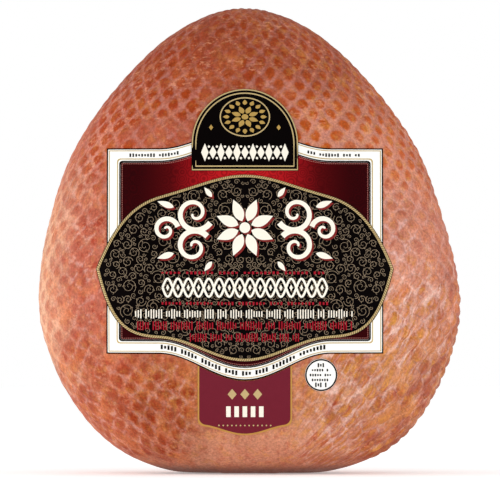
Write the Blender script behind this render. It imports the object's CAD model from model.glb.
# %% [markdown]
# # A whole smoked ham, standing on its broad end
#
# The solids of the ham are already made, and this lesson dresses them. It starts by loading them as a
# fixed frame. Everything below is in metres, with +Z up and the front of the ham towards -Y.

import math
import random

import bmesh
import bpy
import numpy as np
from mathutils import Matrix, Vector, noise
from mathutils.bvhtree import BVHTree


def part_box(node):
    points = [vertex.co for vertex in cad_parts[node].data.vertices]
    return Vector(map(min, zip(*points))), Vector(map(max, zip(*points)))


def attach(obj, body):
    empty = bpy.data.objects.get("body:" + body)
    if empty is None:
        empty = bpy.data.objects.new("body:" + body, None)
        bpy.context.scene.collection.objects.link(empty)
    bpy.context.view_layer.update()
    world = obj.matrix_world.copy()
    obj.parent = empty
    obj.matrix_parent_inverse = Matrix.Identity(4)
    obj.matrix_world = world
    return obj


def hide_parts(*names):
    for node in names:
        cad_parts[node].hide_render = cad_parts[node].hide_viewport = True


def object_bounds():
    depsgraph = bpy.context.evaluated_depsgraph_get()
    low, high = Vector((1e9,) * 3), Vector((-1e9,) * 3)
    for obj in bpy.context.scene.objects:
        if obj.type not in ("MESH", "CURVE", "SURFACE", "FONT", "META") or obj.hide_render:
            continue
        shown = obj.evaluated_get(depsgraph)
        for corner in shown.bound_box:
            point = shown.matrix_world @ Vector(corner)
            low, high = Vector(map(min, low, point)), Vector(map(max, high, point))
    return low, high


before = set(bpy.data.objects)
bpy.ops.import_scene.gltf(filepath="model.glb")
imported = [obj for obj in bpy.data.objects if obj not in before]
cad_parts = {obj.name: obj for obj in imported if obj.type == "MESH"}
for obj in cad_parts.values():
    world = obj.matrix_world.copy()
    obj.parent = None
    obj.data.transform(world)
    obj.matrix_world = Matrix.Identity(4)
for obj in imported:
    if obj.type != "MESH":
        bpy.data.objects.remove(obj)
solid_low, solid_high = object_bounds()
print("the solids reach from", tuple(solid_low), "to", tuple(solid_high))

# %% [markdown]
# ## Holding a piece
#
# Blender's operators act on what is selected. A hand would click on one object first, and these two
# helpers do the same, so that no operator ever reaches a solid of the frame.

# %% Helpers for operators
MERGE = 1e-6  # corners closer than this are one corner


def hold(piece):
    """Makes this the only selected object, and the active one."""
    bpy.ops.object.select_all(action="DESELECT")
    piece.select_set(True)
    bpy.context.view_layer.objects.active = piece


def weld(piece, distance=MERGE):
    """Merges corners that lie on each other, as loose triangles and a curve's caps have them."""
    hold(piece)
    bpy.ops.object.mode_set(mode="EDIT")
    bpy.ops.mesh.select_all(action="SELECT")
    bpy.ops.mesh.remove_doubles(threshold=distance)
    bpy.ops.mesh.normals_make_consistent(inside=False)
    bpy.ops.object.mode_set(mode="OBJECT")


def apply_modifier(piece, kind, **settings):
    """Adds a modifier, sets it up and applies it at once."""
    hold(piece)
    modifier = piece.modifiers.new(kind.lower(), kind)
    for name, value in settings.items():
        setattr(modifier, name, value)
    bpy.ops.object.modifier_apply(modifier=modifier.name)


print("corners nearer than", MERGE, "m are merged")

# %% [markdown]
# ## The net's own map
#
# While it was smoked, the ham hung in an elastic net. Each mesh of the net let a small pad of meat swell
# through, and each string pressed a pale bed between the pads. The solid has one corner on the top of each
# pad and one under each knot of the net, so it can be read like a chart: a corner on a pad has four edges,
# a corner under a knot has more. Counting rows down from the crown and columns round it gives every corner
# a place on the chart. The chart is kept as a UV map, because the colour has to follow the net, and a
# colour on plain coordinates would slide over it.

# %% A copy of the solid
SOLID_MERGE = 1e-5  # corners of the solid's loose triangles meet to within this
meat = bpy.data.objects.new("ham_meat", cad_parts["ham"].data.copy())
bpy.context.scene.collection.objects.link(meat)
meat.data.materials.clear()
weld(meat, SOLID_MERGE)
print("the meat starts with", len(meat.data.vertices), "corners")

# %% Reading the net from the solid
FOOT_LEVEL = 1e-4  # corners below this lie on the board


def beside(corner, knots):
    """The corners next to this one in its row or its column, but not those across a mesh."""
    near = [edge.other_vert(corner) for edge in corner.link_edges]
    return [other for other in near if not (corner in knots and other in knots)]


def chart(mesh):
    """The column and row of each corner on the net, from the crown to the board, and the knots."""
    crown = max((c for c in mesh.verts if c.co.z > solid_high.z / 2), key=lambda c: len(c.link_edges))
    knots = {c for c in mesh.verts if len(c.link_edges) > 4 and c is not crown}

    def bearing(corner):
        return math.atan2(corner.co.x - crown.co.x, crown.co.y - corner.co.y)

    ring = sorted(beside(crown, knots), key=bearing)
    places = {corner: (column, 1) for column, corner in enumerate(ring)}
    above = {column: crown for column in range(len(ring))}
    here = dict(enumerate(ring))
    row = 1
    while here:
        known = set(here.values()) | set(above.values())
        below = {}
        for column, corner in here.items():
            onward = [c for c in beside(corner, knots) if c not in known and c not in places]
            if corner.co.z > FOOT_LEVEL and onward:
                way = corner.co - above[column].co
                below[column] = max(onward, key=lambda c: (c.co - corner.co).normalized().dot(way))
        row += 1
        for column, corner in below.items():
            places[corner] = (column, row)
        above, here = here, below
    return crown, knots, places, len(ring)


cage = bmesh.new()
cage.from_mesh(meat.data)
crown, knots, places, columns = chart(cage)
print("the net has", columns, "columns")
print(len(places), "of", len(cage.verts), "corners have a place on it")

# %% [markdown]
# ## From triangles to a cage of four-sided faces
#
# Subdivision gives the softest surface from four-sided faces. Taking out the edges that run from knot to
# knot turns each pair of triangles back into one, and the flat foot becomes a single face.

# %% The cage and its chart
LAST_ROW = 60  # given to corners on the board, below the net's lowest row
chart_map = cage.loops.layers.uv.new("net")


def on_chart(face, corner):
    """Where a corner lies on the chart, seen from a face, which may lie across the seam."""
    if corner is crown:
        others = [places[c][0] for c in face.verts if c in places]
        if max(others) - min(others) > columns / 2:
            others = [c + columns if c < columns / 2 else c for c in others]
        return sum(others) / len(others), 0.0
    column, row = places.get(corner, (0, LAST_ROW))
    highest = max((places[c][0] for c in face.verts if c in places), default=0)
    if highest - column > columns / 2:
        column += columns
    return float(column), float(row)


def lies_flat(face):
    """Whether a face lies on the board."""
    return all(corner.co.z < FOOT_LEVEL for corner in face.verts)


for face in cage.faces:
    for loop in face.loops:
        loop[chart_map].uv = on_chart(face, loop.vert)
on_board = {face for face in cage.faces if lies_flat(face)}
inner = [e for e in cage.edges if knots.issuperset(e.verts) and on_board.isdisjoint(e.link_faces)]
bmesh.ops.dissolve_edges(cage, edges=inner, use_verts=False)
flat = [e for e in cage.edges if e.link_faces and all(lies_flat(f) for f in e.link_faces)]
bmesh.ops.dissolve_edges(cage, edges=flat, use_verts=True)
signs = [-1.0 if corner in knots else 1.0 for corner in cage.verts]
cage.to_mesh(meat.data)
cage.free()
print("the cage has", len(meat.data.polygons), "faces")

# %% [markdown]
# ## A smooth body, and how deep the net bit
#
# Two rounds of smoothing level the pads against the beds and leave the smooth body. How far a corner moved
# tells how deep the net bit there: deep on the right, faint on the left, hardly at all beneath the label.
# That depth is kept on the corners, so that it rides along when the cage is subdivided. Smoothing and
# subdivision also draw the body in a little. Part of that is given back along the normals, more of it at
# the crown and on the left.

# %% Smoothing and measuring
KEPT_STILL = 0.004  # the foot's rim isn't smoothed below this level
ROUND_FOOT = 0.008  # below this the foot's own roundness would be taken for a bite


def values_of(items, name, width, kind=float):
    """What a mesh holds under this name, as one row of numbers for each item."""
    found = np.zeros(len(items) * width, kind)
    items.foreach_get(name, found)
    return found.reshape(-1, width)


bitten = values_of(meat.data.vertices, "co", 3)
hold(meat)
bpy.ops.object.mode_set(mode="EDIT")
bpy.ops.mesh.select_mode(type="VERT")
bpy.ops.mesh.select_all(action="DESELECT")
bpy.ops.object.mode_set(mode="OBJECT")
for corner in meat.data.vertices:
    corner.select = corner.co.z > KEPT_STILL
bpy.ops.object.mode_set(mode="EDIT")
bpy.ops.mesh.vertices_smooth(factor=0.5, repeat=2)
bpy.ops.object.mode_set(mode="OBJECT")
moved_by = bitten - values_of(meat.data.vertices, "co", 3)
normals = values_of(meat.data.vertex_normals, "vector", 3)
depth = 2 * np.array(signs) * (moved_by * normals).sum(axis=1)
depth[bitten[:, 2] < ROUND_FOOT] = 0
print("the net bit", round(float(depth.max()) * 1000, 2), "mm deep at most")

# %% The fine body
SHRUNK, SHRUNK_CROWN, SHRUNK_LEFT = 0.0004, 0.0009, 0.0012  # what is given back
CROWN_ZONE, LEFT_ZONE, GIRTH_ZONE = (0.198, 0.222), (0.05, 0.09), (0.09, 0.12)
UNDER_SHOULDER, FOOT_ZONE = (-0.175, -0.14), (0.001, 0.012)
DEEPEST = 0.003  # a bite deeper than this isn't believed


def evened(values, links, rounds):
    """Values on corners, each drawn halfway towards the mean of its neighbours."""
    count = np.bincount(links.ravel(), minlength=len(values))
    for _ in range(rounds):
        total = np.bincount(links[:, 0], values[links[:, 1]], len(values))
        total += np.bincount(links[:, 1], values[links[:, 0]], len(values))
        values = (values + total / np.maximum(count, 1)) / 2
    return values


def step(value, start, end):
    """0 before start, 1 after end, smooth between."""
    share = np.clip((value - start) / (end - start), 0, 1)
    return share * share * (3 - 2 * share)


links = values_of(meat.data.edges, "vertices", 2, int)
depth = evened(np.clip(depth, 0, DEEPEST), links, 2)
meat.data.attributes.new("depth", "FLOAT", "POINT").data.foreach_set("value", depth)
apply_modifier(meat, "SUBSURF", levels=2, render_levels=2, uv_smooth="NONE")
fine = values_of(meat.data.vertices, "co", 3)
across, up = fine[:, 0], fine[:, 2]
given_back = SHRUNK + SHRUNK_CROWN * step(up, *CROWN_ZONE) * (0.8 + 0.2 * step(across, -0.01, 0.01))
given_back += SHRUNK_LEFT * step(-across, *LEFT_ZONE) * step(up, *GIRTH_ZONE) * step(-up, *UNDER_SHOULDER)
given_back *= step(up, *FOOT_ZONE)
fine += values_of(meat.data.vertex_normals, "vector", 3) * given_back[:, None]
meat.data.vertices.foreach_set("co", fine.ravel())
meat.data.update()
body = BVHTree.FromPolygons(
    [corner.co.copy() for corner in meat.data.vertices],
    [tuple(face.vertices) for face in meat.data.polygons],
)
print("the fine body has", len(meat.data.polygons), "faces")

# %% [markdown]
# ## Pads and string beds
#
# On the chart, strings run where column plus row is odd, and where column minus row is odd. The sine of
# the distance to the nearest string, once for each of the two ways, rises from 0 on a string to 1 between
# strings, and the product of the two is a pillow. The strings of a real net stray, so the chart is bent a
# little by a slow noise before it is used, and the bent chart is what the colour reads later. Blender takes
# the offsets of its vector noise from the clock, unless a seed is set first.

# %% Bending the chart
STRAY, STRAY_SIZE = 0.42, 0.021  # in meshes of the net, and the distance over which strings wander
STRAY_SEED = 3
spots = values_of(meat.data.vertices, "co", 3)
loops = values_of(meat.data.loops, "vertex_index", 1, int)[:, 0]
noise.seed_set(STRAY_SEED)
stray = np.array([noise.noise_vector(Vector(spot) / STRAY_SIZE)[:2] for spot in spots]) * STRAY
uv = values_of(meat.data.uv_layers["net"].data, "uv", 2) + stray[loops]
meat.data.uv_layers["net"].data.foreach_set("uv", uv.ravel())
net = np.zeros((len(spots), 2))
net[loops] = uv
print("strings stray by up to", round(float(np.abs(stray).max()), 2), "of a mesh")

# %% Raising the pads
ROUGH, ROUGH_SIZE = 0.00028, 0.0085  # the meat's own unevenness
GRAIN, GRAIN_SIZE = 0.00010, 0.0028
FAINT, DEEP = 0.62, 1.20  # how deep the beds look high up and on the left, and low on the right
VARYING = 0.027  # the distance over which that depth comes and goes
LEVEL = 0.55  # what is above this share of a pillow rises, and the rest sinks
MOST_UNEVEN = 0.0008  # where the net bit this deep, the meat is as uneven as it gets
FULL_BITE = 0.0017  # a bite this deep counts in full for the colour
SLANT_RIGHT, SLANT_LOW = (0.02, 0.07), (-0.095, -0.05)  # where the pads run slantwise
DEEP_RIGHT, DEEP_LOW = (-0.03, 0.07), (-0.135, -0.075)  # where the beds are deep
RIM_ZONE = (0.001, 0.010)


def triangle_wave(value):
    """1 at even numbers, 0 at odd ones."""
    return np.abs((value % 2) - 1)


normals = values_of(meat.data.vertex_normals, "vector", 3)
depth = values_of(meat.data.attributes["depth"].data, "value", 1)[:, 0]
rising = np.sin(triangle_wave(net[:, 0] + net[:, 1]) * math.pi / 2)
falling = np.sin(triangle_wave(net[:, 0] - net[:, 1]) * math.pi / 2)
across, up = spots[:, 0], spots[:, 2]
slant = step(across, *SLANT_RIGHT) * step(-up, *SLANT_LOW)
pillow = rising ** (0.75 + 0.25 * slant) * falling ** (0.75 - 0.45 * slant)
uneven = np.array([noise.noise(Vector(spot) / ROUGH_SIZE) for spot in spots]) * ROUGH
uneven += np.array([noise.noise(Vector(spot) / GRAIN_SIZE) for spot in spots]) * GRAIN
unrest = 0.15 + 0.85 * np.clip(depth / MOST_UNEVEN, 0, 1)
sunk = FAINT + (DEEP - FAINT) * step(across, *DEEP_RIGHT) * step(-up, *DEEP_LOW)
sunk *= 0.65 + 0.7 * np.array([0.5 + noise.noise(Vector(spot) / VARYING) for spot in spots])
height = depth * sunk * (pillow - LEVEL) + uneven * unrest * step(up, *RIM_ZONE)
spots = spots + normals * height[:, None]
spots[:, 2] = np.maximum(spots[:, 2], 0)
meat.data.vertices.foreach_set("co", spots.ravel())
bites = np.clip(depth / FULL_BITE, 0, 1)
meat.data.attributes.new("bite", "FLOAT", "POINT").data.foreach_set("value", bites)
meat.data.attributes.remove(meat.data.attributes["depth"])
hold(meat)
bpy.ops.object.shade_smooth()
print("the meat reaches", spots.min(axis=0).round(4), "to", spots.max(axis=0).round(4))

# %% [markdown]
# ## Shader sums written as sums
#
# A finish is worked out by nodes. To keep the sums readable, one small class stands for a node's output:
# adding or multiplying two of them adds the Math node that does it. Any other node comes from its one
# method `node`, which takes the node's settings first and then the values or links of its sockets.

# %% A wire between nodes


class Wire:
    """The output of a node, with arithmetic."""

    def __init__(self, tree, socket=None):
        self.tree = tree
        self.socket = socket

    def node(self, kind, inputs, output=0, stops=(), **settings):
        """Adds a node, sets it up, fills its sockets, and gives one of its outputs."""
        made = self.tree.nodes.new("ShaderNode" + kind)
        for name, value in settings.items():
            setattr(made, name, value)
        if stops:
            ramp = made.color_ramp.elements
            for place, _ in stops[2:]:
                ramp.new(place)
            for element, (place, _) in zip(ramp, sorted(stops)):
                element.position = place
            for element, (_, colour) in zip(ramp, sorted(stops)):
                element.color = colour
        for name, value in inputs.items():
            if isinstance(value, Wire):
                self.tree.links.new(value.socket, made.inputs[name])
            else:
                made.inputs[name].default_value = value
        return Wire(self.tree, made.outputs[output])

    def math(self, operation, *values):
        return self.node("Math", dict(enumerate(values)), operation=operation)

    def __add__(self, other):
        return self.math("ADD", self, other)

    def __sub__(self, other):
        return self.math("SUBTRACT", self, other)

    def __mul__(self, other):
        return self.math("MULTIPLY", self, other)

    def __truediv__(self, other):
        return self.math("DIVIDE", self, other)

    def __radd__(self, other):
        return self.math("ADD", other, self)

    def __rsub__(self, other):
        return self.math("SUBTRACT", other, self)

    def __rmul__(self, other):
        return self.math("MULTIPLY", other, self)

    def __rtruediv__(self, other):
        return self.math("DIVIDE", other, self)

    def fade(self, start, end):
        """0 before start, 1 after end, smooth between."""
        values = {"Value": self, "From Min": start, "From Max": end}
        return self.node("MapRange", values, interpolation_type="SMOOTHSTEP")

    def clip(self):
        return self.node("Clamp", {"Value": self})

    def blend(self, first, second):
        """From the first colour where this is 0 to the second where it is 1."""
        return self.node("Mix", {0: self, 6: first, 7: second}, output=2, data_type="RGBA")


print("a wire adds the Math node for each sign between two of them")

# %% Colours and new finishes


def srgb(red, green, blue):
    """A colour as a screen states it, 0 to 255, turned into the numbers that a shader wants."""
    shares = [value / 255 for value in (red, green, blue)]
    linear = [s / 12.92 if s <= 0.04045 else ((s + 0.055) / 1.055) ** 2.4 for s in shares]
    return (*linear, 1.0)


def new_finish(name, **constants):
    """A material, a loose wire into its nodes, and its shader, with constant values set on the sockets."""
    material = bpy.data.materials.new(name)
    material.use_nodes = True
    shader = material.node_tree.nodes["Principled BSDF"]
    for socket, value in constants.items():
        shader.inputs[socket.replace("_", " ")].default_value = value
    return material, Wire(material.node_tree), shader


def plug(wire, shader, socket):
    wire.tree.links.new(wire.socket, shader.inputs[socket])


print("a grey of 128 on a screen is", round(srgb(128, 128, 128)[0], 3), "in a shader")

# %% [markdown]
# ## The finish of the meat
#
# Smoke browns the top of each pad to a deep orange, and the strings keep their beds pale, pink and a
# little lilac. Such a surface could be painted by hand, but only where it is seen. Here it is worked out
# all round, from the net's chart, from soft masks on the object's coordinates and from noise of several
# sizes. Each use of noise takes the next seed, so that no two patterns are alike.

# %% Coordinates and noise
SEED_APART = 1.7  # how far apart two patterns of noise are taken
meat_finish, wire, shader = new_finish("smoked_ham", Specular_IOR_Level=0.10, Coat_Roughness=0.25)
place = wire.node("TexCoord", {}, output="Object")
x, y, z = (wire.node("SeparateXYZ", {0: place}, output=axis) for axis in "XYZ")
on_net = wire.node("UVMap", {}, uv_map="net")
column, row = (wire.node("SeparateXYZ", {0: on_net}, output=axis) for axis in "XY")
bite = wire.node("Attribute", {}, output="Fac", attribute_name="bite")
seeds = iter(range(1, 100))


def mottle(size, detail=3.0, stretch=(1, 1, 1), roughness=0.5, at=place):
    """Noise whose blotches are about this wide, longer where stretch is over 1."""
    scale = tuple(1 / part for part in stretch)
    offset = SEED_APART * next(seeds)
    seen = wire.node("Mapping", {"Vector": at, "Scale": scale, "Location": (offset, offset, offset)})
    values = {"Vector": seen, "Scale": 1 / size, "Detail": detail, "Roughness": roughness}
    return wire.node("TexNoise", values)


print("the meat's finish reads the net and the object's coordinates")

# %% [markdown]
# ## Regions
#
# A ham isn't alike all over. High on the right its dots stand out one by one. The left is fainter, and
# streaked where it bulges. Low on the right the pads run slantwise, and fibres show. Each region is a fade
# along one axis, and a product of fades is a corner. Above the label the pads hardly rise, but they show
# in the colour, so the bite is helped a little there.

# %% Soft masks
right = x.fade(-0.02, 0.06)
left = x.fade(-0.02, -0.07)
high = z.fade(0.115, 0.165)
low = z.fade(0.085, 0.045)
side = y.fade(-0.052, -0.014)
flank = left * (1 - high)
rough = high * (1 - right)
dotted = high * x.fade(0.00, 0.03)
slanted = x.fade(0.02, 0.07) * z.fade(0.115, 0.060)
fibrous = x.fade(0.012, 0.045) * z.fade(0.120, 0.075) * y.fade(0.03, -0.01)
inner_left = low * x.fade(-0.072, -0.048) * x.fade(-0.010, -0.025)
beside_tab = x.fade(-0.062, -0.040) * x.fade(0.050, 0.030)
gilded = beside_tab * z.fade(0.085, 0.060) * z.fade(0.012, 0.030) * y.fade(0.0, -0.02)
above_label = z.fade(0.148, 0.160) * z.fade(0.206, 0.194) * y.fade(-0.020, -0.045)
bite = (bite + 0.28 * above_label).clip()
print("the masks have", len(meat_finish.node_tree.nodes), "nodes")

# %% [markdown]
# ## Dots, threads and a bare patch
#
# The dots are the pads again, from the same sines that raised them, with an edge that noise makes ragged.
# The lowest part of each bed is where the string itself lay, and becomes a thin thread. Low on the front
# the net left hardly a mark, so an oval patch is kept bare, to show lean meat.

# %% Dots and threads
PATCH_X, PATCH_Z = 0.010, 0.008  # the middle of the bare patch
PATCH_HALF, PATCH_TALL = 0.044, 0.028
ragged = 1.0 - 0.50 * dotted
to_rising = 1 - wire.math("PINGPONG", column + row + (mottle(0.0058) - 0.5) * ragged, 1.0)
to_falling = 1 - wire.math("PINGPONG", column - row + (mottle(0.0050) - 0.5) * ragged, 1.0)
rising = wire.math("SINE", to_rising * (math.pi / 2))
falling = wire.math("SINE", to_falling * (math.pi / 2))
pad = rising * wire.math("POWER", falling, 1 - 0.55 * slanted)
spot = (pad + (mottle(0.0028) - 0.5) * (0.95 + 0.75 * rough) + 0.10 * rough).fade(0.20, 0.80)
thread = (pad + (mottle(0.0022, 2.0) - 0.5) * 0.60).fade(0.55, 0.00)
patch_x = (x - PATCH_X) / PATCH_HALF
patch_z = (z - PATCH_Z) / PATCH_TALL
patch = wire.math("SQRT", patch_x * patch_x + patch_z * patch_z) + (mottle(0.009) - 0.5) * 0.9
patch = patch.fade(1.20, 0.75) * y.fade(0.01, -0.01)
print("dots, threads and the bare patch are laid out")

# %% [markdown]
# ## Pads on their beds
#
# Pads and beds each have a colour that changes from region to region, and the dots choose between the two.
# How strongly they do is a sum over the regions, times a slow blotch. High on the left parts of the net's
# mark have melted away, so there the beds take on some of the pads' brown.

# %% Pads and beds


def by_region(*colours):
    """Blends six colours: high, at the girth and low, each on the left and on the right."""
    pairs = [right.blend(colours[k], colours[k + 1]) for k in (0, 2, 4)]
    return high.blend(low.blend(pairs[1], pairs[2]), pairs[0])


pad_colour = by_region(
    srgb(160, 60, 14), srgb(184, 82, 16),
    srgb(162, 64, 42), srgb(176, 98, 70),
    srgb(150, 50, 8), srgb(162, 84, 36),
)
bed_colour = by_region(
    srgb(186, 112, 92), srgb(210, 144, 120),
    srgb(184, 100, 78), srgb(208, 142, 120),
    srgb(182, 98, 68), srgb(192, 124, 90),
)
LEAN = srgb(198, 136, 108)
CROWN = srgb(134, 46, 2)
even = bite.fade(0.02, 0.30)
blotch = mottle(0.021, 2.0).fade(0.32, 0.62)
strength = 0.30 + 0.65 * high + 0.26 * low * left + 0.24 * right * (1 - high)
strength = strength + 0.14 * flank * (1 - low) + 0.44 * inner_left
firmness = 0.45 + 0.35 * dotted + 0.15 * rough + 0.26 * inner_left + 0.55 * blotch
strength = (strength * firmness).clip() * even
melted = (1 - blotch) * rough
colour = (spot * strength + 0.36 * melted * (1 - spot)).clip().blend(bed_colour, pad_colour)
colour = (0.55 * (1 - even)).blend(colour, high.blend(LEAN, CROWN))
colour = (z.fade(0.165, 0.208) * 0.68).blend(colour, CROWN)
colour = (patch * 0.85).blend(colour, LEAN)
print("pads and beds are coloured")

# %% [markdown]
# ## Fat and redder meat
#
# Small patches of golden fat and of redder muscle break up the net. Low on the right the meat is drawn out
# into fibres. They are noise on the chart, many across a mesh and few along it, so they run with the net.
# Beside the tab thin golden streaks run upright, which is noise on plain coordinates.

# %% Fat, fibres and ruddy meat
FAT = srgb(206, 140, 68)
RUDDY = srgb(160, 56, 32)
FIBRES_ACROSS, FIBRES_ALONG, FIBRE_SLANT = 2.3, 0.38, 0.40  # for each mesh of the net
STREAKS_ACROSS, STREAKS_ALONG = 420.0, 90.0  # for each metre
across_fibres = (column + row * FIBRE_SLANT) * FIBRES_ACROSS
fibre_place = wire.node("CombineXYZ", {"X": across_fibres, "Y": row * FIBRES_ALONG})
fibre = mottle(1.0, 4.0, roughness=0.6, at=fibre_place)
fat = mottle(0.0052, 4.0, roughness=0.65).fade(0.50, 0.64)
fat = fat * (0.18 + 0.18 * right + 0.08 * right * low + 0.16 * low + 0.24 * fibrous
             + 0.25 * side * right * high)
streak_place = wire.node("CombineXYZ", {"X": x * STREAKS_ACROSS, "Y": z * STREAKS_ALONG})
gold_streak = wire.node("TexNoise", {"Vector": streak_place, "Scale": 1.0, "Detail": 3.0})
fat = fat + fibre.fade(0.53, 0.40) * fibrous * (0.40 + 0.35 * spot)
fat = (fat + gold_streak.fade(0.42, 0.62) * gilded * 0.28).clip()
colour = fat.blend(colour, FAT)
ruddy = mottle(0.0042, 5.0, stretch=(1, 1, 1.5), roughness=0.65).fade(0.48, 0.64)
ruddy = ruddy * (0.38 + 0.24 * flank + 0.24 * left * z.fade(0.085, 0.110) - 0.18 * dotted)
dark_fibre = mottle(1.0, 3.0, roughness=0.6, at=fibre_place).fade(0.48, 0.64) * fibrous
ruddy = (ruddy + dark_fibre * (0.50 - 0.18 * z.fade(0.055, 0.085))).clip()
colour = ruddy.blend(colour, RUDDY)
print("fat and ruddy meat are mixed in")

# %% [markdown]
# ## Lilac threads and pale fibres
#
# The string's own mark is the palest part of the net, and a little lilac. It comes and goes, so two sizes
# of noise thin it out. The pale fibres low on the right gather along the same threads.

# %% Threads and pale fibres
PALE_FIBRE = srgb(232, 190, 174)
thread_colour = high.blend(srgb(216, 168, 158), srgb(190, 128, 118))
haze = thread * mottle(0.0038, 4.0, roughness=0.6).fade(0.42, 0.60) * bite.fade(0.05, 0.4)
haze = haze * (0.16 + 0.20 * high + 0.34 * right * (1 - high) + 0.16 * flank
               + (0.44 - 0.26 * flank) * mottle(0.017).fade(0.42, 0.58))
haze = haze * (1 - 0.10 * low * left) * (1 - 0.30 * melted) * (1 - 0.40 * z.fade(0.184, 0.206))
colour = haze.blend(colour, thread_colour)
pale_fibre = fibre.fade(0.44, 0.62) * fibrous * (0.60 + 0.36 * z.fade(0.045, 0.075))
pale_fibre = (pale_fibre * (0.56 + 0.95 * thread)).clip()
colour = pale_fibre.blend(colour, PALE_FIBRE)
print("threads and fibres are drawn")

# %% [markdown]
# ## The two edges
#
# Seen from the front the left edge is pale and yellowish, and the right edge is brown. Both are bands on
# the flanks, where the surface turns away. A plain fade would leave a straight border, so noise moves it
# to and fro.

# %% Pale edge and brown edge
EDGE_PALE = srgb(226, 176, 142)
EDGE_BROWN = srgb(152, 68, 46)
wander = mottle(0.013, 5.0, roughness=0.62) - 0.5
pale_edge = (y + wander * 0.05).fade(-0.044, -0.012) * (y + wander * 0.09).fade(0.026, 0.002)
pale_edge = pale_edge * left * (z + wander * 0.05).fade(0.034, 0.066) * (1 - high)
colour = (pale_edge * (0.84 - 0.44 * spot)).blend(colour, EDGE_PALE)
browned = (side + y.fade(-0.055, -0.025) * z.fade(0.060, 0.035)).clip()
browned = browned * right * mottle(0.010).fade(0.25, 0.60)
colour = (browned * (0.42 + 0.32 * z.fade(0.118, 0.095))).blend(colour, EDGE_BROWN)
print("both edges are toned")

# %% [markdown]
# ## Light and dark
#
# Last come the things that lie over all the rest: fine streaks, grain and broad shading, which only make
# the colour lighter or darker; small bright specks where the surface is torn; and patches that are warmer
# or more smoked. The rim that stands on the board is darkest.

# %% Tone, specks and smoke
SPECK = srgb(232, 160, 122)
SMOKED = srgb(148, 62, 34)
RIM = srgb(132, 80, 64)
warm_colour = (fibrous * low).blend(srgb(212, 122, 70), srgb(214, 146, 80))
streak = mottle(0.0022, 3.0, stretch=(1, 1, 6))
tone = 1 + (streak - 0.5) * (0.20 + 0.26 * left * z.fade(0.02, 0.05))
tone = tone + (mottle(0.0012, 2.0, roughness=0.7).fade(0.32, 0.68) - 0.5) * 0.34
tone = tone + (mottle(0.026, 2.0) - 0.5) * 0.34
tone = tone - 0.15 * inner_left + 0.06 * left * high
speck = mottle(0.0019, 3.0, stretch=(1.8, 1, 1), roughness=0.7).fade(0.52, 0.64)
speck = speck * mottle(0.0110, 2.0).fade(0.42, 0.62)
colour = (speck * (0.34 + 0.08 * high)).blend(colour, SPECK)
warmth = mottle(0.015, 4.0, roughness=0.6)
kept_lean = 1 - 0.75 * patch
colour = (warmth.fade(0.48, 0.66) * (0.42 - 0.24 * high) * kept_lean).blend(colour, warm_colour)
colour = (warmth.fade(0.47, 0.33) * (0.18 + 0.30 * low) * kept_lean).blend(colour, SMOKED)
colour = z.fade(0.0060, 0.0012).blend(colour, RIM)
colour = wire.node("VectorMath", {0: colour, "Scale": tone}, operation="SCALE")
plug(colour, shader, "Base Color")
print("the meat's colour is whole")

# %% [markdown]
# ## Moisture and fine relief
#
# Cooked meat is matt, with moist places that shine a little. Relief finer than the mesh comes from a bump:
# grain, streaks, fibres, and a sharper shoulder on each pad.

# %% Gloss and relief
RELIEF_DEPTH = 0.0006
moist = mottle(0.010).fade(0.50, 0.75)
plug(0.50 - 0.14 * moist + 0.10 * thread, shader, "Roughness")
plug(0.10 * moist, shader, "Coat Weight")
relief = mottle(0.0015) * 0.40 + streak * 0.30 + mottle(0.0042) * 0.55 + fibre * fibrous * 1.1
relief = relief + 0.9 * pad.fade(0.0, 0.5) * bite
plug(wire.node("Bump", {"Height": relief, "Strength": 0.65, "Distance": RELIEF_DEPTH}), shader, "Normal")
meat.data.materials.append(meat_finish)
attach(meat, "root")
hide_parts("ham")
print("the meat's finish has", len(meat_finish.node_tree.nodes), "nodes")

# %% [markdown]
# ## Drawing flat, pressing on
#
# The label is printed film that clings to the front of the ham. Its shapes are easiest to draw flat, as
# they are printed, and then to press back onto the body. An outline becomes a flat curve with a little
# thickness, which Blender fills, and a line becomes a thin rod. Wide shapes are cut by planes a few
# millimetres apart, so that they can bend. Pressing keeps a point's place as the front sees it, and lifts
# it off the smooth body by its layer's height.

# %% Curves made into meshes


def made_mesh(name, curve):
    """The curve as a mesh object that faces the front, welded."""
    piece = bpy.data.objects.new(name, curve)
    bpy.context.scene.collection.objects.link(piece)
    hold(piece)
    bpy.ops.object.convert(target="MESH")
    piece = bpy.context.object
    piece.rotation_euler.x = math.pi / 2
    bpy.ops.object.transform_apply(location=True, rotation=True, scale=True)
    weld(piece)
    return piece


def new_curve(name, dimensions, lines, closed):
    """A curve through lines of points (x, z) or (x, z, share of the full thickness)."""
    curve = bpy.data.curves.new(name, "CURVE")
    curve.dimensions = dimensions
    for line in lines:
        spline = curve.splines.new("POLY")
        spline.points.add(len(line) - 1)
        for point, spot in zip(spline.points, line):
            point.co = (spot[0], spot[1], 0, 1)
            point.radius = spot[2] if len(spot) > 2 else 1
        spline.use_cyclic_u = closed
    return curve


print("a curve is drawn flat and stood up to face the front")

# %% Sheets and rods
BEND_EVERY = 0.003  # wide shapes are cut this finely, so that they bend


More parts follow.
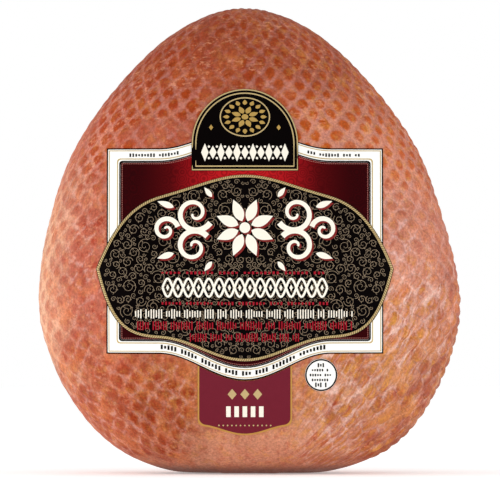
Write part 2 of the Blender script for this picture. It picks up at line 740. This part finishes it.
def sheet_of(name, outlines, thickness, bends=True):
    """A flat sheet with these outlines. An outline inside another is a hole."""
    curve = new_curve(name, "2D", outlines, True)
    curve.fill_mode = "BOTH"
    curve.extrude = thickness / 2
    piece = made_mesh(name, curve)
    if bends:
        for axis in (0, 2):
            places = [corner.co[axis] for corner in piece.data.vertices]
            count = int((max(places) - min(places)) / BEND_EVERY)
            bpy.ops.object.mode_set(mode="EDIT")
            for number in range(1, count + 1):
                middle = [0.0, 0.0, 0.0]
                middle[axis] = min(places) + number * BEND_EVERY
                normal = [0.0, 0.0, 0.0]
                normal[axis] = 1.0
                bpy.ops.mesh.select_all(action="SELECT")
                bpy.ops.mesh.bisect(plane_co=middle, plane_no=normal, threshold=MERGE)
            bpy.ops.object.mode_set(mode="OBJECT")
    return piece


def rods_of(name, lines, width, closed=False, sides=1):
    """Rods along these lines. They are pressed flat later."""
    curve = new_curve(name, "3D", lines, closed)
    curve.bevel_depth = width / 2
    curve.bevel_resolution = sides
    curve.use_fill_caps = True
    return made_mesh(name, curve)


print("wide sheets are cut every", BEND_EVERY, "m")

# %% The press
AHEAD = Vector((0, 1, 0))
FROM_FRONT = -0.5  # where the press starts, well in front of the body
SHARP = math.radians(35)  # edges that turn more than this stay sharp


def press(piece, lift, flatten=1.0):
    """Moves each corner from the flat drawing onto the body's front, at its layer's height."""
    for corner in piece.data.vertices:
        across, depth, up = corner.co
        spot, normal, _, _ = body.ray_cast(Vector((across, FROM_FRONT, up)), AHEAD)
        if spot is None:
            raise ValueError(f"{piece.name} reaches past the ham at {across:.4f}, {up:.4f}")
        corner.co = spot + normal * (lift - depth * flatten)
    hold(piece)
    bpy.ops.object.shade_smooth_by_angle(angle=SHARP)
    return piece


def belongs(piece, finish, node=None):
    """Gives a piece its finish, sets it on the ham, and says which solid it stands for."""
    piece.data.materials.clear()
    piece.data.materials.append(finish)
    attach(piece, "root")
    if node:
        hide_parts(node)
    print(piece.name, "has", sum(len(f.vertices) - 2 for f in piece.data.polygons), "triangles")


front, _, _, _ = body.ray_cast(Vector((0, FROM_FRONT, 0.1)), AHEAD)
print("at its middle the press meets the body at y =", round(front.y, 4))

# %% [markdown]
# ## Inks
#
# Print is never one flat colour: the ink lies a little thinner here and there, film has a satin sheen, and
# it wrinkles very slightly over meat. One function mixes such an ink from a colour, and the red field and
# the metal-like gold get their own.

# %% Printed finishes


def ink(name, colour, rough=0.42, metal=0.0, vary=0.06):
    """A printed finish: a colour with thin and thick places, satin, on film that isn't quite flat."""
    material, wire, shader = new_finish(name, Metallic=metal, Specular_IOR_Level=0.02)
    spot = wire.node("TexCoord", {}, output="Object")
    thin = wire.node("TexNoise", {"Vector": spot, "Scale": 260.0, "Detail": 3.0})
    fine = wire.node("TexNoise", {"Vector": spot, "Scale": 2200.0, "Detail": 2.0})
    tone = 1 + (thin - 0.5) * vary * 2 + (fine - 0.5) * vary
    plug(wire.node("VectorMath", {0: colour[:3], "Scale": tone}, operation="SCALE"), shader, "Base Color")
    plug(rough + (thin - 0.5) * 0.12, shader, "Roughness")
    soft = wire.node("TexNoise", {"Vector": spot, "Scale": 110.0, "Detail": 2.0})
    bump = wire.node("Bump", {"Height": soft, "Strength": 0.18, "Distance": 0.0006})
    plug(bump, shader, "Normal")
    return material


WHITE = ink("white_film", srgb(252, 251, 246), rough=0.42, vary=0.012)
CREAM = ink("cream_ink", srgb(250, 243, 228), rough=0.42, vary=0.02)
BLACK = ink("black_ink", srgb(5, 2, 2), rough=0.40, vary=0.25)
GOLD = ink("gold_ink", srgb(196, 172, 122), rough=0.34, metal=0.15, vary=0.12)
DIM_GOLD = ink("dim_gold_ink", srgb(150, 131, 108), rough=0.40, metal=0.10, vary=0.22)
SHADE_RED = ink("dark_red_ink", srgb(128, 40, 38), vary=0.12)
ROW_RED = ink("bright_red_ink", srgb(158, 26, 40), vary=0.08)
WINE = ink("burgundy_ink", srgb(112, 34, 48), rough=0.42, vary=0.05)
OCHRE = ink("ochre_ink", srgb(190, 142, 72), vary=0.08)
print("nine inks are mixed")

# %% [markdown]
# ## The red field's own finish
#
# Behind the plaque the print glows from nearly black red at its ends to a bright red below the badge, and
# fine curls show in it, only a little darker. The glow is a mask on the distance from the middle, and
# rings round scattered points give the curls.

# %% Glowing red print
LABEL_X = -0.0020
red_finish, wire, shader = new_finish("red_field_ink", Specular_IOR_Level=0.02)
place = wire.node("TexCoord", {}, output="Object")
across = wire.node("SeparateXYZ", {0: place}, output="X") - LABEL_X
up = wire.node("SeparateXYZ", {0: place}, output="Z")
flat_place = wire.node("Mapping", {"Vector": place, "Scale": (1, 0, 1)})
bright = wire.math("ABSOLUTE", across).fade(0.056, 0.006) * up.fade(0.095, 0.135)
scattered = {"Vector": flat_place, "Scale": 210.0, "Randomness": 0.6}
cells = wire.node("TexVoronoi", scattered, output="Distance")
rings = wire.math("SINE", cells * 30.0).fade(-0.2, 0.7)
glow = wire.node(
    "ValToRGB", {0: bright},
    stops=(
        (0.0, srgb(44, 3, 6)), (1.0, srgb(188, 26, 32)),
        (0.35, srgb(86, 8, 12)), (0.7, srgb(150, 18, 24)),
    ),
)
glow = (rings * 0.42).blend(glow, srgb(60, 2, 6))
plug(glow, shader, "Base Color")
plug(0.36 + 0.06 * rings, shader, "Roughness")
print("the red field's finish has", len(red_finish.node_tree.nodes), "nodes")

# %% [markdown]
# ## The label's sheet
#
# The largest piece is a white-edged sheet whose upper and lower edges swell at the middle. Its outline is
# a formula, so the rules that follow the edge further in are the same formula with an inset. Black and
# gold hairlines edge the white band on both sides, and inside lies the red field.

# %% Outlines of the sheet
sheet_low, sheet_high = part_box("label_panel")
SHEET_HALF = 0.0675
SHEET_BOTTOM, SHEET_TOP = 0.0597, 0.1600
SHEET_DROP, SHEET_RISE = 0.0130, 0.0100
SWELL_HALF = 0.0420
BAND = 0.0068  # width of the white band
STEPS = 72
SHEET_LIFT, SHEET_THICK = 0.00060, 0.00050
LAYER = 0.00006  # each print lies this far above the one below
APART = 1e-5  # points of an outline nearer than this are one point


def swell(x, half=SWELL_HALF):
    share = min(abs(x - LABEL_X) / half, 1)
    return (1 + math.cos(math.pi * share)) / 2


def lower_edge(x):
    return SHEET_BOTTOM - SHEET_DROP * swell(x)


def upper_edge(x):
    return SHEET_TOP + SHEET_RISE * swell(x)


def round_corner(x, half, radius):
    """How far an edge turns in at x, near the round corner at its end."""
    into = max(radius - (half - abs(x - LABEL_X)), 0)
    return radius - math.sqrt(max(radius**2 - into**2, 0))


def between(half, lower, upper, steps=STEPS):
    """A closed outline between two edges, each a function of x."""
    places = [LABEL_X - half * math.cos(math.pi * k / steps) for k in range(steps + 1)]
    line = [(x, lower(x)) for x in places] + [(x, upper(x)) for x in reversed(places)]
    return [p for p, before in zip(line, line[-1:] + line[:-1]) if math.dist(p, before) > APART]


def sheet_outline(inset, radius=0.0):
    """The sheet's outline, moved in by inset, with round corners if a radius is given."""
    half = SHEET_HALF - inset
    return between(
        half,
        lambda x: lower_edge(x) + inset + round_corner(x, half, radius),
        lambda x: upper_edge(x) - inset - round_corner(x, half, radius),
    )


sheet = press(sheet_of("label_sheet", [sheet_outline(0)], SHEET_THICK), SHEET_LIFT)
belongs(sheet, WHITE, "label_panel")
top_of_sheet = SHEET_LIFT + SHEET_THICK / 2
print("its solid is", round(sheet_high[0] - sheet_low[0], 4), "m wide, and the drawing", 2 * SHEET_HALF)

# %% Rules and the red field
PRINT = 0.00004  # how thick a print is
INNER_CORNER = 0.0016  # how round the corners of the inner rules are
FIELD_CORNER = 0.0014


def printed(name, shapes, finish, height, bends=False):
    """Prints shapes on the label, at a height above the body."""
    belongs(press(sheet_of(name, shapes, PRINT, bends), height), finish)


def rules(*edges):
    """Outlines inside one another, two to a line. The inner ones have round corners."""
    return [sheet_outline(edge, INNER_CORNER if edge > BAND / 2 else 0) for edge in edges]


on_sheet = top_of_sheet + LAYER
black_rules = rules(0, 0.00060, BAND - 0.0007, BAND - 0.0001)
printed("label_black_rules", black_rules, BLACK, on_sheet, bends=True)
gold_rules = rules(0.00105, 0.00145, BAND - 0.0018, BAND - 0.0013)
printed("label_gold_rules", gold_rules, GOLD, on_sheet, bends=True)
printed("label_red_field", [sheet_outline(BAND, FIELD_CORNER)], red_finish, on_sheet, bends=True)

# %% [markdown]
# ## Things that repeat along a line
#
# Stitches, twists of rope and rows of marks all follow an edge at an even pace. A helper walks along a
# line and gives a place and a direction every so often, and small shapes are set down there.

# %% Walking along a line


def walk(line, pace, closed=True):
    """Places along a line, an even pace apart, each with the line's direction there."""
    points = list(line) + ([line[0]] if closed else [])
    lengths = [math.dist(a[:2], b[:2]) for a, b in zip(points, points[1:])]
    count = max(round(sum(lengths) / pace), 1)
    wanted = [sum(lengths) * (k + 0.5) / count for k in range(count)]
    found, travelled, at = [], 0.0, 0
    for length, a, b in zip(lengths, points, points[1:]):
        while at < count and wanted[at] <= travelled + length:
            share = (wanted[at] - travelled) / length
            spot = [a[k] + (b[k] - a[k]) * share for k in (0, 1)]
            found.append((*spot, math.atan2(b[1] - a[1], b[0] - a[0])))
            at += 1
        travelled += length
    return found


STITCH_PACE = 0.0009
stitch_places = walk(sheet_outline(BAND + 0.0008), STITCH_PACE)
print(len(stitch_places), "stitches go round the red field")

# %% Small shapes and stitches


def turned(shape, x, z, angle):
    """A small outline set down at a place, turned by an angle."""
    c, s = math.cos(angle), math.sin(angle)
    return [(x + px * c - pz * s, z + px * s + pz * c) for px, pz in shape]


def lozenge(half_width, half_height):
    return [(-half_width, 0), (0, -half_height), (half_width, 0), (0, half_height)]


def block(half_width, half_height, lean=0.0):
    return [
        (-half_width - lean, -half_height), (half_width - lean, -half_height),
        (half_width + lean, half_height), (-half_width + lean, half_height),
    ]


def ring_of(radius, steps=28):
    angles = [2 * math.pi * k / steps for k in range(steps)]
    return [(radius * math.cos(angle), radius * math.sin(angle)) for angle in angles]


def in_row(shape, pace, z, numbers):
    """A shape set down at height z once for each number, that many paces from the label's middle."""
    return [turned(shape, LABEL_X + pace * number, z, 0) for number in numbers]


stitches = [turned(block(0.00028, 0.00014), *spot) for spot in stitch_places]
printed("label_stitches", stitches, ink("stitch_ink", srgb(176, 108, 100)), top_of_sheet + 2 * LAYER)

# %% [markdown]
# ## Rows of plain marks
#
# Where a pack carries rows of small print, this one carries rows of plain upright ticks in groups of
# uneven length. They have the weight of a printed row and say nothing. A seeded draw makes the groups
# uneven in the same way each time.

# %% Tick rows
PLAIN = random.Random(7)


def tick_row(middle, half, z, height, pace, width, rise=lambda x: 0.0):
    """Groups of upright ticks between middle - half and middle + half, at height z plus rise(x)."""
    marks, x, left_in_group = [], middle - half, PLAIN.randint(3, 9)
    while x < middle + half:
        if left_in_group == 0:
            left_in_group = PLAIN.randint(3, 9)
        else:
            tall = height * PLAIN.choice((1.0, 1.0, 0.8, 0.62))
            marks.append(turned(block(width / 2, tall / 2), x, z + rise(x), 0))
            left_in_group -= 1
        x += pace
    return marks


band_marks = tick_row(LABEL_X, 0.0405, 0.0, 0.0022, 0.00165, 0.0010,
                      rise=lambda x: lower_edge(x) + BAND / 2)
for side in (-1, 1):
    band_marks += tick_row(LABEL_X + side * 0.0435, 0.0125, 0.0, 0.0017, 0.00145, 0.0008,
                           rise=lambda x: upper_edge(x) - BAND / 2)
printed("label_band_marks", band_marks, BLACK, on_sheet)

# %% [markdown]
# ## The black plaque
#
# A wide black plaque with pointed sides lies over the sheet. It is edged by a twisted rope in gold, and
# filled by fine scrolls. The edge is a formula again, so that the rope and the scrolls can follow it.

# %% The plaque
PLAQUE_Z = 0.1010
PLAQUE_HALF = 0.0725
PLAQUE_ABOVE, PLAQUE_BELOW = 0.0380, 0.0340
PLAQUE_RISE, PLAQUE_DROP = 0.0080, 0.0110
UPPER_POINT, LOWER_POINT = 5, 9  # the higher, the blunter the plaque's ends above and below
INSET_SIDES = 1.3  # its pointed ends move in by this many insets
PLAQUE_LIFT, PLAQUE_THICK = 0.00105, 0.00030
top_of_plaque = PLAQUE_LIFT + PLAQUE_THICK / 2


def plaque_edges(x, inset=0.0):
    """The lower and upper edge of the plaque at x, moved in by inset."""
    share = min(abs(x - LABEL_X) / (PLAQUE_HALF - INSET_SIDES * inset), 1)
    low_edge = PLAQUE_Z - (PLAQUE_BELOW - inset) * (1 - share**LOWER_POINT) - PLAQUE_DROP * swell(x)
    high_edge = PLAQUE_Z + (PLAQUE_ABOVE - inset) * (1 - share**UPPER_POINT) + PLAQUE_RISE * swell(x)
    return low_edge, high_edge


def plaque_outline(inset):
    return between(
        PLAQUE_HALF - INSET_SIDES * inset,
        lambda x: plaque_edges(x, inset)[0],
        lambda x: plaque_edges(x, inset)[1],
    )


plaque = press(sheet_of("plaque_sheet", [plaque_outline(0)], PLAQUE_THICK), PLAQUE_LIFT)
belongs(plaque, BLACK, "label_plaque")

# %% The rope
ROPE_INSET, ROPE_WIDTH, TWIST_PACE = 0.0007, 0.0012, 0.0011
TOP_OF_ROPE = 0.00014  # how far the flattened rope stands above the plaque
rope_line = plaque_outline(ROPE_INSET)
rope = rods_of("plaque_rope", [rope_line], ROPE_WIDTH, closed=True)
belongs(press(rope, top_of_plaque, flatten=0.2), GOLD)
twists = [turned(block(0.00016, 0.00055, lean=0.00032), *spot) for spot in walk(rope_line, TWIST_PACE)]
printed("plaque_rope_twists", twists, ink("rope_shade_ink", srgb(92, 72, 44)), top_of_plaque + TOP_OF_ROPE)

# %% [markdown]
# ## Scrolls
#
# Scrollwork is one of the oldest ornaments there is: a stem leaves its neighbour and coils up. One
# function gives a coil as a line that winds in while it thins. A lattice of coils would look like a net,
# so they are dropped at random, the large ones first, and one that lands too near another isn't kept.
# Small curls sprout from the larger coils, and the right half mirrors the left.

# %% Coils


def coil(x, z, radius, start, turns, hand=1, steps=16, thick=1.0, thin=0.55):
    """A line that winds in to the middle (x, z), from an angle start, over so many turns."""
    line = []
    for k in range(steps + 1):
        share = k / steps
        reach = radius * (1 - share) ** 0.85 + radius * 0.10
        angle = start + hand * turns * 2 * math.pi * share
        weight = thick + (thin - thick) * share
        line.append((x + reach * math.cos(angle), z + reach * math.sin(angle), weight))
    return line


def mirrored(lines):
    return lines + [[(2 * LABEL_X - p[0], *p[1:]) for p in line] for line in lines]


def well_inside(x, z, margin):
    if abs(x - LABEL_X) > PLAQUE_HALF - INSET_SIDES * margin - 0.001:
        return False
    low_edge, high_edge = plaque_edges(x, margin)
    return low_edge < z < high_edge


print("a coil is a line of", len(coil(LABEL_X, PLAQUE_Z, 0.002, 0, 1)), "points")

# %% Fine scrolls on the ground
SCROLLS = random.Random(11)
SIZES = ((0.0036, 70), (0.0027, 400), (0.0020, 1400), (0.0014, 3000), (0.0009, 5000))  # radius, tries
NEAREST = 0.93  # coils come this near each other, as a share of both radii
FROM_ROPE = 0.0014  # how far every coil stays inside the plaque's edge
SPROUTING = 0.0018  # a coil with a larger radius than this has curls
placed = []
for radius, tries in SIZES:
    for _ in range(tries):
        x = LABEL_X - SCROLLS.uniform(radius, PLAQUE_HALF)
        z = PLAQUE_Z + SCROLLS.uniform(-PLAQUE_BELOW - PLAQUE_DROP, PLAQUE_ABOVE + PLAQUE_RISE)
        clear = all(math.dist((x, z), other[:2]) > (radius + other[2]) * NEAREST for other in placed)
        if clear and well_inside(x, z, radius + FROM_ROPE):
            placed.append((x, z, radius))
fine_lines = []
for x, z, radius in placed:
    hand, facing = SCROLLS.choice((-1, 1)), SCROLLS.uniform(0, 2 * math.pi)
    turns, steps = 1.0 + 220 * radius, int(16 + 4000 * radius)
    fine_lines.append(coil(x, z, radius * 0.90, facing, turns, hand, steps, thin=0.7))
    if radius > SPROUTING:
        for angle in (facing + 1.2, facing + 2.6, facing + 4.1):
            root = (x + radius * 0.62 * math.cos(angle), z + radius * 0.62 * math.sin(angle))
            fine_lines.append(coil(*root, radius * 0.24, angle, 0.6, -hand, steps=7, thick=0.9))
print(len(placed), "coils found a place on the left half")
scrolls = rods_of("plaque_scrolls", mirrored(fine_lines), 0.00022, sides=0)
belongs(press(scrolls, top_of_plaque + LAYER / 2, flatten=0.3), DIM_GOLD)

# %% [markdown]
# ## The large ornament
#
# Across the plaque's upper half goes the boldest print: a round flower between two broad, coiling leaves,
# cream on a dark red shadow. Each half is the mirror of the other, so the shapes are written once and
# flipped. The shadow is the same drawing, moved right and down.

# %% Petals


def petal(length, width, steps=9):
    """A leaf shape from the origin along +x."""
    shares = [k / steps for k in range(steps + 1)]
    upper = [(length * s, width / 2 * math.sin(math.pi * s**0.8)) for s in shares]
    return upper + [(x, -z) for x, z in reversed(upper[1:-1])]


def flower(x, z, reach, petals, width, heart):
    """Petals round a bead, which they don't touch."""
    shapes = [turned(ring_of(heart), x, z, 0)]
    for number in range(petals):
        angle = 2 * math.pi * (number + 0.5) / petals
        root = (x + heart * 1.3 * math.cos(angle), z + heart * 1.3 * math.sin(angle))
        shapes.append(turned(petal(reach - heart * 1.3, width), *root, angle))
    return shapes


def moved(shapes, x, z):
    return [[(p[0] + x, p[1] + z, *p[2:]) for p in shape] for shape in shapes]


print("a petal is an outline of", len(petal(0.01, 0.003)), "points")

# %% Flower and leaves
FLOWER_Z = 0.1210
SHADOW = 0.0009  # how far the shadow lies to the right and down


def large_ornament():
    """Rods for the coiling leaves, and outlines for the flower and the loose petals."""
    coils = [
        coil(LABEL_X + 0.0245, FLOWER_Z + 0.0070, 0.0082, -2.6, 1.35, 1, 40, 1.0, 0.40),
        coil(LABEL_X + 0.0250, FLOWER_Z - 0.0092, 0.0076, 2.5, 1.35, -1, 40, 1.0, 0.40),
        coil(LABEL_X + 0.0385, FLOWER_Z - 0.0010, 0.0056, 2.9, 1.3, -1, 32, 0.9, 0.35),
    ]
    leaves = [
        turned(petal(0.0085, 0.0030), LABEL_X + 0.0345, FLOWER_Z + 0.0100, 0.35),
        turned(petal(0.0085, 0.0030), LABEL_X + 0.0345, FLOWER_Z - 0.0125, -0.30),
        turned(petal(0.0060, 0.0024), LABEL_X + 0.0160, FLOWER_Z + 0.0150, 0.9),
        turned(petal(0.0060, 0.0024), LABEL_X + 0.0160, FLOWER_Z - 0.0165, -0.9),
    ]
    return mirrored(coils), mirrored(leaves) + flower(LABEL_X, FLOWER_Z, 0.0148, 8, 0.0052, 0.0026)


coils, leaves = large_ornament()
for name, finish, shift, height in (
    ("ornament_shadow", SHADE_RED, SHADOW, 2 * LAYER),
    ("ornament_cream", CREAM, 0.0, 4 * LAYER),
):
    rods = rods_of(name + "_coils", moved(coils, shift, -shift), 0.0028)
    belongs(press(rods, top_of_plaque + height, flatten=0.05), finish)
    flats = sheet_of(name + "_leaves", moved(leaves, shift, -shift), PRINT)
    belongs(press(flats, top_of_plaque + height), finish)

# %% [markdown]
# ## Rows on the plaque
#
# Below the flower goes a plaited band, two waves that cross with a bead in each eye. Above and below it
# come rows of plain ticks, white and red, as heavy as the rows of a pack and as plain as the ones on the
# white band.

# %% Plait and rows
PLAIT_Z, PLAIT_TALL, PLAIT_WAVE, PLAIT_HALF = 0.0918, 0.0088, 0.0100, 0.0400
PLAIT_STEPS = 120
RED_ROWS = (  # how far each reaches, where it is, and the height, pace and width of its ticks
    (0.0520, 0.0734, 0.0042, 0.00125, 0.00058),
    (0.0265, 0.0677, 0.0040, 0.00125, 0.00058),
    (0.0400, 0.0842, 0.0016, 0.00170, 0.00090),
    (0.0400, 0.0990, 0.0014, 0.00200, 0.00110),
)
on_plaque = top_of_plaque + 3 * LAYER


def wave(x, phase):
    """The height of one of the plait's two waves at x."""
    return PLAIT_Z + PLAIT_TALL / 2 * math.sin((x - LABEL_X) * 2 * math.pi / PLAIT_WAVE + phase)


places = [LABEL_X - PLAIT_HALF + 2 * PLAIT_HALF * k / PLAIT_STEPS for k in range(PLAIT_STEPS + 1)]
plait = [[(x, wave(x, phase)) for x in places] for phase in (0, math.pi)]
belongs(press(rods_of("plaque_plait", plait, 0.0011), on_plaque, flatten=0.08), CREAM)
eyes = in_row(lozenge(0.0008, 0.0016), PLAIT_WAVE, PLAIT_Z, [k / 2 + 0.25 for k in range(-8, 8)])
white_rows = eyes + tick_row(LABEL_X, 0.0530, 0.0791, 0.0044, 0.00125, 0.00055)
printed("plaque_white_rows", white_rows, CREAM, on_plaque)
red_rows = [mark for sizes in RED_ROWS for mark in tick_row(LABEL_X, *sizes)]
printed("plaque_red_rows", red_rows, ROW_RED, on_plaque)

# %% [markdown]
# ## The badge
#
# Above the plaque stands a black badge with an arched top. Two gold lines run round it, and in it sits a
# small gold flower in a ring, over a row of cream lozenges.

# %% Badge
BADGE_HALF = 0.0260
BADGE_BOTTOM, BADGE_SPRING, BADGE_TOP = 0.1490, 0.1620, 0.1890
BADGE_ABOVE = 0.0001  # how far the badge lies above the plaque
RING_Z, RING_TALL, RING_STRETCH = 0.1752, 0.0094, 1.28


def badge_outline(inset):
    half = BADGE_HALF - inset
    arch = BADGE_TOP - inset - BADGE_SPRING
    return between(
        half,
        lambda x: BADGE_BOTTOM + inset,
        lambda x: BADGE_SPRING + arch * math.sqrt(max(1 - min(abs(x - LABEL_X) / half, 1) ** 2, 0)),
        steps=48,
    )


def on_ring(shape):
    """A shape drawn round the origin, stretched sideways and set in the badge's ring."""
    return [(LABEL_X + RING_STRETCH * px, RING_Z + pz) for px, pz in shape]


badge = press(sheet_of("badge_sheet", [badge_outline(0)], PLAQUE_THICK), PLAQUE_LIFT + BADGE_ABOVE)
belongs(badge, BLACK, "label_badge")
on_badge = top_of_plaque + BADGE_ABOVE
lines = [badge_outline(0.0004), badge_outline(0.0021), on_ring(ring_of(RING_TALL, 48))]
belongs(press(rods_of("badge_lines", lines, 0.0006, closed=True), on_badge, flatten=0.3), GOLD)

# %% The badge's flower and row
OUTER_PETALS, OUTER_FROM = 16, 0.0059  # how many, and how far from the middle they start
ROW_Z, ROW_PACE = 0.1578, 0.0039
round_petals = flower(0, 0, 0.0055, 8, 0.0021, 0.0013)
for number in range(OUTER_PETALS):
    angle = 2 * math.pi * number / OUTER_PETALS
    root = (OUTER_FROM * math.cos(angle), OUTER_FROM * math.sin(angle))
    round_petals.append(turned(petal(0.0025, 0.0017), *root, angle))
petals = [on_ring(shape) for shape in round_petals]
petals += in_row(lozenge(0.0010, 0.0014), 0.0165, 0.1700, (-1, 1))
badge_gold = ink("badge_gold_ink", srgb(186, 152, 84), rough=0.34, metal=0.15, vary=0.15)
printed("badge_flower", petals, badge_gold, on_badge + LAYER, bends=True)
row = []
for k in range(-5, 6):
    row += in_row(lozenge(0.0018, 0.0044 if k % 2 else 0.0033), ROW_PACE, ROW_Z, [k])
for k in range(-5, 5):
    for side in (-1, 1):
        row += in_row(ring_of(0.0006, 8), ROW_PACE, ROW_Z + side * 0.0028, [k + 0.5])
printed("badge_row", row, CREAM, on_badge + LAYER)

# %% [markdown]
# ## The tab and the seal
#
# A burgundy tab hangs below the sheet, with an ochre edge, and a small round seal sits to its right. The
# tab's upper edge follows the sheet's lower one.

# %% Tab
TAB_HALF = 0.0230
TAB_BOTTOM, TAB_DROP, TAB_CORNER = 0.0245, 0.0045, 0.0030
TAB_GAP = 0.0003  # between the sheet's lower edge and the tab


def tab_outline(inset):
    half = TAB_HALF - inset
    return between(
        half,
        lambda x: TAB_BOTTOM + inset + round_corner(x, half, TAB_CORNER) - TAB_DROP * swell(x, half),
        lambda x: lower_edge(x) - TAB_GAP,
    )


tab = press(sheet_of("tab_sheet", [tab_outline(0)], SHEET_THICK), SHEET_LIFT)
belongs(tab, OCHRE, "label_tab")
printed("tab_field", [tab_outline(0.0008)], WINE, on_sheet, bends=True)
gold = in_row(lozenge(0.0022, 0.0026), 0.0062, 0.0400, (-1, 0, 1))
gold += in_row(ring_of(0.0004, 8), 0.0021, 0.0248, range(-6, 7))
printed("tab_gold_marks", gold, GOLD, top_of_sheet + 2 * LAYER)
row = in_row(block(0.0011, 0.0026), 0.0040, 0.0315, range(-2, 3))
printed("tab_cream_marks", row, CREAM, top_of_sheet + 2 * LAYER)

# %% Seal
seal_low, seal_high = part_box("label_seal")
SEAL_X, SEAL_Z, SEAL_RADIUS = 0.0352, 0.0493, 0.0079
SEAL_PACE = 0.0024  # from row to row of its marks
SEAL_ROWS = (  # where each row is, how far it reaches and how tall its ticks are
    (2, 0.0014, 0.0020),
    (1, 0.0042, 0.0012),
    (0, 0.0052, 0.0012),
    (-1, 0.0042, 0.0012),
    (-2, 0.0026, 0.0022),
)


def seal_ring(inset):
    return turned(ring_of(SEAL_RADIUS - inset, 48), SEAL_X, SEAL_Z, 0)


disc = press(sheet_of("seal_disc", [seal_ring(0)], SHEET_THICK), SHEET_LIFT)
belongs(disc, WHITE, "label_seal")
marks = [seal_ring(0.0001), seal_ring(0.0008)]
for number, half, tall in SEAL_ROWS:
    marks += tick_row(SEAL_X, half, SEAL_Z + SEAL_PACE * number, tall, 0.0012, 0.0007)
printed("seal_marks", marks, BLACK, on_sheet, bends=True)
print("its solid is", round(seal_high[0] - seal_low[0], 4), "m wide, and the drawing", 2 * SEAL_RADIUS)

# %% [markdown]
# ## Floor, light and camera
#
# The ham stands on a pale floor in even, soft light. Two broad lamps stand at the sides, level with the
# ham's middle, and a weaker one in front, further off and higher. The bright world fills in the rest. The
# camera looks straight at the front from far away, with a long lens, at the height of the ham's middle.

# %% Floor
bpy.ops.object.select_all(action="DESELECT")
FLOOR_SIZE, FLOOR_BELOW, FLOOR_GLOW = 3.0, 0.0002, 0.30
bpy.ops.mesh.primitive_circle_add(
    vertices=96, radius=FLOOR_SIZE, fill_type="NGON", location=(0, 0, -FLOOR_BELOW),
)
floor = bpy.context.object
floor.name = "floor"
floor_finish, wire, shader = new_finish("pale_floor", Roughness=0.9)
grain = wire.node("TexNoise", {"Vector": wire.node("TexCoord", {}, output="Object"), "Scale": 3.0})
plug(wire.node("VectorMath", {0: (0.95, 0.95, 0.95), "Scale": 0.98 + 0.04 * grain}, operation="SCALE"),
     shader, "Base Color")
shader.inputs["Emission Color"].default_value = (1, 1, 1, 1)
shader.inputs["Emission Strength"].default_value = FLOOR_GLOW
floor.data.materials.append(floor_finish)
print("the floor is", 2 * FLOOR_SIZE, "m across")

# %% World and lamps
WORLD_LIGHT, WORLD_SEEN = 0.74, 1.0  # how strongly the world lights, and how bright the camera sees it
world = bpy.data.worlds.new("studio")
bpy.context.scene.world = world
world.use_nodes = True
sky = world.node_tree
background = sky.nodes["Background"]
seen = sky.nodes.new("ShaderNodeLightPath")
strength = sky.nodes.new("ShaderNodeMix")
strength.inputs[2].default_value = WORLD_LIGHT
strength.inputs[3].default_value = WORLD_SEEN
sky.links.new(seen.outputs["Is Camera Ray"], strength.inputs[0])
sky.links.new(strength.outputs[0], background.inputs["Strength"])
background.inputs["Color"].default_value = (1, 1, 1, 1)


def lamp(name, place, aim, size, power):
    """A broad soft lamp, turned towards a point."""
    light = bpy.data.lights.new(name, "AREA")
    light.shape = "RECTANGLE"
    light.size, light.size_y = size
    light.energy = power
    made = bpy.data.objects.new(name, light)
    made.location = place
    made.rotation_euler = (Vector(aim) - Vector(place)).to_track_quat("-Z", "Y").to_euler()
    bpy.context.scene.collection.objects.link(made)


lamp("left_lamp", (-1.2, -0.10, 0.12), (0, 0, 0.08), (0.9, 0.7), 8.0)
lamp("right_lamp", (1.2, -0.25, 0.12), (0, 0, 0.08), (0.9, 0.7), 5.0)
lamp("front_lamp", (0.1, -1.8, 0.45), (0, 0, 0.10), (1.2, 0.8), 4.0)
print("the stage is lit by three lamps")

# %% Camera
PICTURE_WIDTH = 0.2479  # how much of the ham's own plane the picture takes in
PICTURE_MIDDLE = Vector((0.0005, 0, 0.1138))
CAMERA_AWAY = 5.0
SENSOR = 36  # mm
camera = bpy.data.objects.new("camera", bpy.data.cameras.new("camera"))
bpy.context.scene.collection.objects.link(camera)
camera.location = PICTURE_MIDDLE + Vector((0, -CAMERA_AWAY, 0))
camera.rotation_euler = (math.pi / 2, 0, 0)
camera.data.sensor_width = SENSOR
camera.data.lens = SENSOR * CAMERA_AWAY / PICTURE_WIDTH
camera.data.clip_end = 50
camera.data.dof.use_dof = False
bpy.context.scene.camera = camera
bpy.context.scene.view_settings.view_transform = "Standard"
print("the lens is", round(camera.data.lens), "mm long")
